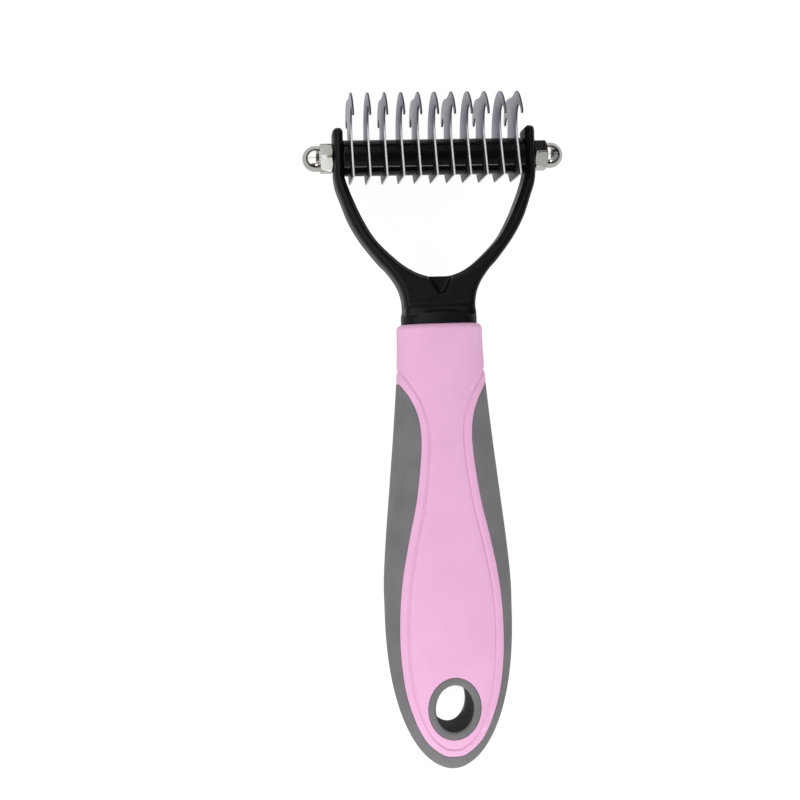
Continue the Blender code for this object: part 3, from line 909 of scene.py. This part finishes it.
def nut_profile(base, tip):
    """Return (distance from the arm, radius) from the bore's end round to the dome's tip."""
    corner = NUT_CORNER
    washer = NUT_ACROSS_FLATS / 2 - 0.1
    length = NUT_HEX_LENGTH
    chamfer = (corner - washer) * math.tan(math.radians(30))
    dome = NUT_DOME_RADIUS
    crown = tip - base - dome
    profile = [(NUT_BORE_DEPTH, 0.0), (NUT_BORE_DEPTH - 0.5, BORE_RADIUS), (0.3, BORE_RADIUS),
               (0.0, BORE_RADIUS + 0.3), (0.0, washer)]
    profile += [(chamfer * k / 6, washer + (corner - washer) * k / 6) for k in range(1, 7)]
    profile += [(length / 2, corner)]
    profile += [(length - chamfer * k / 6, washer + (corner - washer) * k / 6)
                for k in range(6, -1, -1)]
    profile += [(length + 0.05, washer - 0.12), (length + 0.12, dome - 0.08),
                (length + 0.3, dome)]
    profile += [(crown + dome * math.sin(t), dome * math.cos(t))
                for t in np.linspace(0.0, math.pi / 2, 15)]
    return profile


def add_cap_nut(side, mats):
    """Add one domed nut: chamfered hexagon, shoulder, dome and blind bore."""
    way = 1 if side == "right" else -1
    low, high = sorted(way * x for x in span(f"cap_nut_{side}", 0))
    offset = math.radians(NUT_TURNS[side])
    profile = nut_profile(low, high)
    count = 180
    points = []
    for k in range(count):
        turn = 2 * math.pi * k / count + offset
        limit = hex_radius(turn, offset)
        for x, radius in profile:
            r = min(radius, limit)
            points.append((way * (low + x), r * math.cos(turn), r * math.sin(turn)))
    faces = grid_faces(count, len(profile), closed_rows=True)
    nut = object_from_points(f"domed_nut_{side}", points, faces, 24)
    finish(nut, [mats["chrome"]], f"{side}_nut", f"cap_nut_{side}")


def dress_axle(mats):
    """Give the CAD's axle rod its plated steel."""
    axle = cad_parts["axle_rod"]
    axle.data.materials.clear()
    axle.data.materials.append(mats["axle"])


# ---------------------------------------------------------------- studio

FLOOR_GLOW = 0.93
REFLECTED_FLOOR = 0.62
TUBE_STRENGTH = 14.0


def add_floor():
    """Add a plain pale floor that can't be seen from below or in reflections."""
    bpy.ops.mesh.primitive_plane_add(size=6.0, location=(0.0, 0.0, -0.0003))
    floor = bpy.context.object
    floor.name = "studio_floor"
    mat = bpy.data.materials.new("studio_floor")
    mat.use_nodes = True
    tree = mat.node_tree
    shader = tree.nodes["Principled BSDF"]
    shader.inputs["Base Color"].default_value = (0.14, 0.14, 0.14, 1.0)
    shader.inputs["Roughness"].default_value = 1.0
    shader.inputs["Specular IOR Level"].default_value = 0.0
    shader.inputs["Emission Color"].default_value = (1.0, 1.0, 0.995, 1.0)
    shader.inputs["Emission Strength"].default_value = FLOOR_GLOW
    clear = tree.nodes.new("ShaderNodeBsdfTransparent")
    switch = tree.nodes.new("ShaderNodeMixShader")
    geometry = tree.nodes.new("ShaderNodeNewGeometry")
    output = tree.nodes["Material Output"]
    tree.links.new(geometry.outputs["Backfacing"], switch.inputs["Fac"])
    tree.links.new(shader.outputs["BSDF"], switch.inputs[1])
    tree.links.new(clear.outputs["BSDF"], switch.inputs[2])
    tree.links.new(switch.outputs["Shader"], output.inputs["Surface"])
    floor.data.materials.append(mat)
    floor.visible_glossy = False


def horizon(tree, up):
    """Return the light of a pale horizon that darkens towards the top and below."""
    return product(tree, remap(tree, up, 0.90, 0.36, 0.10, 0.60),
                   remap(tree, up, 0.30, 1.0, -0.10, 0.0))


def wall_panels(tree, right, far, up):
    """Return the strengths of the panels and bars that split the studio's walls.

    They are, in turn: a darker ceiling at the right, a dark low front at the left, a
    dark bar across the right wall, a dark seam over the whole studio, a bright left
    and dim right half, and two steps in strength further to the right.
    """
    dark_top = remap(tree, up, 1.0, 0.2, 0.80, 0.92)
    low_front = remap(tree, far, 0.1, 1.0, -0.75, -0.65)
    return [blended(tree, remap(tree, right, 0.0, 1.0, 0.02, 0.05), 1.0, dark_top),
            blended(tree, remap(tree, right, 0.0, 1.0, -0.02, 0.02), low_front, 1.0),
            blended(tree, remap(tree, right, 0.0, 1.0, 0.20, 0.24), 1.0,
                    dark_bar(tree, far, 0.5, 0.17)),
            dark_bar(tree, far, 0.10, 0.04),
            remap(tree, right, 1.25, 0.3, 0.060, 0.075),
            remap(tree, right, 1.0, 1.6, 0.180, 0.190),
            remap(tree, right, 1.0, 0.6, 0.25, 0.40)]


def reflected_studio(tree, right, far, up):
    """Return what reflections see: a floor, a dark band, pale walls and a bright tube."""
    panels = wall_panels(tree, right, far, up)
    wall = remap(tree, up, 0.03, 1.2, 0.22, 0.45)
    for panel in panels:
        wall = product(tree, wall, panel)
    tube = product(tree, near(tree, up, 0.42, 0.03), near(tree, far, -0.9, 0.15))
    tube = product(tree, tube, near(tree, right, 0.125, 0.06))
    wall = blended(tree, tube, wall, TUBE_STRENGTH)
    return blended(tree, remap(tree, up, 0.0, 1.0, -0.05, 0.0), REFLECTED_FLOOR, wall)


def add_world():
    """Light the scene from a pale horizon, and show reflections a studio instead."""
    world = bpy.data.worlds.new("studio")
    bpy.context.scene.world = world
    world.use_nodes = True
    world.cycles.sampling_method = "NONE"
    tree = world.node_tree
    background = tree.nodes["Background"]
    coords = tree.nodes.new("ShaderNodeTexCoord")
    split = tree.nodes.new("ShaderNodeSeparateXYZ")
    tree.links.new(coords.outputs["Generated"], split.inputs["Vector"])
    right, far, up = (split.outputs[axis] for axis in "XYZ")
    light = horizon(tree, up)
    seen = reflected_studio(tree, right, far, up)
    path = tree.nodes.new("ShaderNodeLightPath")
    strength = blended(tree, path.outputs["Is Glossy Ray"], light, seen)
    tree.links.new(strength, background.inputs["Strength"])
    background.inputs["Color"].default_value = (1.0, 1.0, 1.0, 1.0)


def near(tree, value, centre, half_width):
    """Return 1 where a value is near the centre, and 0 elsewhere."""
    node = tree.nodes.new("ShaderNodeMath")
    node.operation = "COMPARE"
    node.inputs[1].default_value = centre
    node.inputs[2].default_value = half_width
    tree.links.new(value, node.inputs[0])
    return node.outputs["Value"]


def dark_bar(tree, value, centre, half_width):
    """Return 0.1 where a value is near the centre, and 1 elsewhere."""
    return remap(tree, near(tree, value, centre, half_width), 1.0, 0.1, 0.0, 1.0)


def product(tree, first, second):
    """Return the product of two values."""
    node = tree.nodes.new("ShaderNodeMath")
    node.operation = "MULTIPLY"
    tree.links.new(first, node.inputs[0])
    tree.links.new(second, node.inputs[1])
    return node.outputs["Value"]


def blended(tree, factor, first, second):
    """Return a mix of two values, each a number or another node's output."""
    node = tree.nodes.new("ShaderNodeMix")
    tree.links.new(factor, node.inputs["Factor"])
    for socket, value in ((node.inputs["A"], first), (node.inputs["B"], second)):
        if isinstance(value, float):
            socket.default_value = value
        else:
            tree.links.new(value, socket)
    return node.outputs["Result"]


def add_softbox(name, azimuth, elevation, distance, size, power):
    """Add an area light that faces the middle of the tool and shows in no reflection."""
    light = bpy.data.lights.new(name, "AREA")
    light.shape = "RECTANGLE"
    light.size, light.size_y = size
    light.energy = power
    obj = bpy.data.objects.new(name, light)
    bpy.context.scene.collection.objects.link(obj)
    around, up = math.radians(azimuth), math.radians(elevation)
    away = Vector((math.cos(around) * math.cos(up), math.sin(around) * math.cos(up),
                   math.sin(up)))
    obj.location = away * distance
    obj.rotation_euler = away.to_track_quat("Z", "Y").to_euler()
    obj.visible_glossy = False


def add_lights():
    """Add the softboxes, at azimuths from +X towards +Y, in degrees, metres and watts."""
    add_softbox("low_strip", -90, 27, 0.9, (0.9, 0.05), 4.2)
    add_softbox("left_box", 165, 46, 0.8, (0.45, 0.5), 0.45)
    add_softbox("right_box", 10, 46, 0.8, (0.45, 0.5), 0.25)
    add_softbox("front_box", -114, 52, 0.8, (0.5, 0.4), 1.75)
    add_softbox("back_box", 95, 52, 0.8, (0.6, 0.4), 1.2)


def add_camera():
    """Add the camera above the tool, a little to its left, turned slightly about its axis."""
    yaw, pitch, roll = 0.102, 0.003, 0.033
    distance = 368.0
    centre = Vector((-10.5, -61.05, 0.0))
    turn = (Matrix.Rotation(roll, 3, "Z") @ Matrix.Rotation(pitch, 3, "X")
            @ Matrix.Rotation(yaw, 3, "Y"))
    data = bpy.data.cameras.new("camera")
    data.sensor_width = 36.0
    data.lens = 65.7
    data.clip_start = 0.01
    camera = bpy.data.objects.new("camera", data)
    bpy.context.scene.collection.objects.link(camera)
    back = turn.transposed()
    place = AXLE + (centre + back @ Vector((0.0, 0.0, distance))) * MM
    camera.matrix_world = Matrix.Translation(place) @ back.to_4x4()
    bpy.context.scene.camera = camera


def main():
    """Build every piece, then the studio round it."""
    mats = make_materials()
    add_handle_core(mats)
    add_soft_grip(mats)
    add_liner(mats)
    add_yoke(mats)
    for index, name in enumerate(BLADE_NAMES):
        add_blade(name, index % 2 == 0, mats)
    for name in SPACER_NAMES + END_SPACER_NAMES:
        add_sleeve(name, mats)
    for side in NUT_TURNS:
        add_cap_nut(side, mats)
    dress_axle(mats)
    add_floor()
    add_world()
    add_lights()
    add_camera()
    bpy.context.scene.view_settings.view_transform = "Standard"


main()
